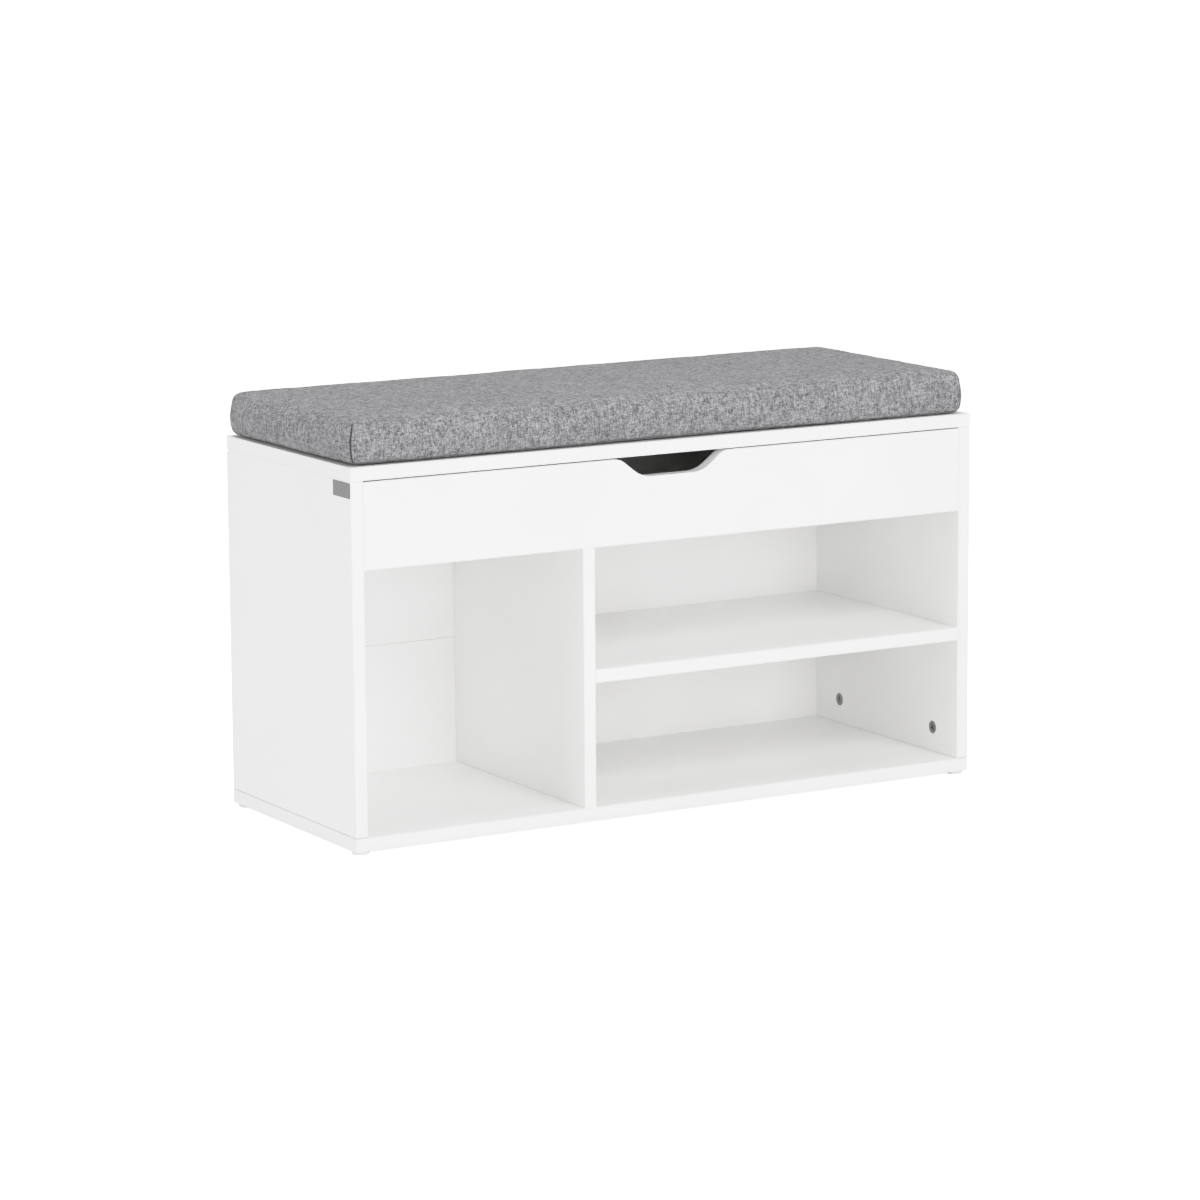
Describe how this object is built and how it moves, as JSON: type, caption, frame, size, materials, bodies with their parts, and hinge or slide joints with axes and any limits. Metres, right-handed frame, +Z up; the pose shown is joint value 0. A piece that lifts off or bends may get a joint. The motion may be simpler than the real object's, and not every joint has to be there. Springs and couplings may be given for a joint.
{
  "type": "entryway bench",
  "caption": "Low white shoe bench with open bays, a shallow storage compartment under a hinged lid, folding lid stays and a grey padded box cushion.",
  "frame": {"origin": "centre of the footprint, on the floor: midway between the side panels' outer faces and midway between the lid's front and back edges", "axes": "+X to the right along the bench, +Y to the back, +Z up"},
  "size_m": [0.8003, 0.3062, 0.4721],
  "materials": {
    "white_board": "satin white melamine on particle board",
    "back_board": "white lacquered fibre board",
    "white_plastic": "moulded white plastic",
    "bright_steel": "zinc plated",
    "hinge_steel": "nickel plated sheet",
    "stay_steel": "zinc plated flat bar",
    "zinc_casting": "dull die-cast zinc",
    "beech": "bare beech",
    "grey_tag": "woven tag, blank",
    "strip_tape": "hook-and-loop tape",
    "foam": "open-cell foam",
    "grey_linen": "heathered linen-look weave",
    "zip_tape": "woven zip tape"
  },
  "bodies": {
    "carcass": {"bottom_panel": "white_board", "left_side_panel": "white_board", "right_side_panel": "white_board", "divider_panel": "white_board", "shelf_panel": "white_board", "compartment_floor": "white_board", "front_panel": "white_board", "rear_rail": "white_board", "lower_back_board": "back_board", "upper_back_board": "back_board", "back_board_nails": "bright_steel", "foot_pads": "white_plastic", "foot_nails": "bright_steel", "cam_locks": "zinc_casting", "cam_bolts": "bright_steel", "dowels": "beech", "side_tag": "grey_tag", "hinge_fixed_leaves": "hinge_steel", "hinge_pins": "bright_steel", "hinge_rail_screws": "bright_steel", "stay_pivot_screws": "bright_steel"},
    "lid": {"lid_panel": "white_board", "hinge_lid_leaves": "hinge_steel", "hinge_lid_screws": "bright_steel", "stay_lid_brackets": "hinge_steel", "stay_bracket_screws": "bright_steel", "stay_bracket_rivets": "bright_steel", "hook_strips": "strip_tape", "loop_strips": "strip_tape", "cushion_foam": "foam", "cushion_cover": "grey_linen", "cushion_zip": "zip_tape", "zip_slider": "bright_steel"},
    "left_lower_arm": {"left_stay_lower_arm": "stay_steel", "left_stay_rivet": "bright_steel"},
    "left_upper_arm": {"left_stay_upper_arm": "stay_steel"},
    "right_lower_arm": {"right_stay_lower_arm": "stay_steel", "right_stay_rivet": "bright_steel"},
    "right_upper_arm": {"right_stay_upper_arm": "stay_steel"}
  },
  "joints": [
    {"name": "lid_hinge", "type": "hinge", "parent": "carcass", "child": "lid", "pos_m": [0, 0.1532, 0.4063], "axis": [-1, 0, 0], "range_deg": [0, 90]},
    {"name": "left_lower_arm_pivot", "type": "hinge", "parent": "carcass", "child": "left_lower_arm", "pos_m": [-0.3831, 0.1202, 0.3485], "axis": [-1, 0, 0], "range_deg": [0, 90]},
    {"name": "left_upper_arm_pivot", "type": "hinge", "parent": "left_lower_arm", "child": "left_upper_arm", "pos_m": [-0.3815, 0.0102, 0.3405], "axis": [-1, 0, 0], "range_deg": [-90, 0]},
    {"name": "right_lower_arm_pivot", "type": "hinge", "parent": "carcass", "child": "right_lower_arm", "pos_m": [0.3831, 0.1202, 0.3485], "axis": [-1, 0, 0], "range_deg": [0, 90]},
    {"name": "right_upper_arm_pivot", "type": "hinge", "parent": "right_lower_arm", "child": "right_upper_arm", "pos_m": [0.3815, 0.0102, 0.3405], "axis": [-1, 0, 0], "range_deg": [-90, 0]}
  ],
  "couplings": [
    {"joint": "left_lower_arm_pivot", "follows": "lid_hinge", "ratio": 1},
    {"joint": "left_upper_arm_pivot", "follows": "lid_hinge", "ratio": -1},
    {"joint": "right_lower_arm_pivot", "follows": "lid_hinge", "ratio": 1},
    {"joint": "right_upper_arm_pivot", "follows": "lid_hinge", "ratio": -1}
  ]
}
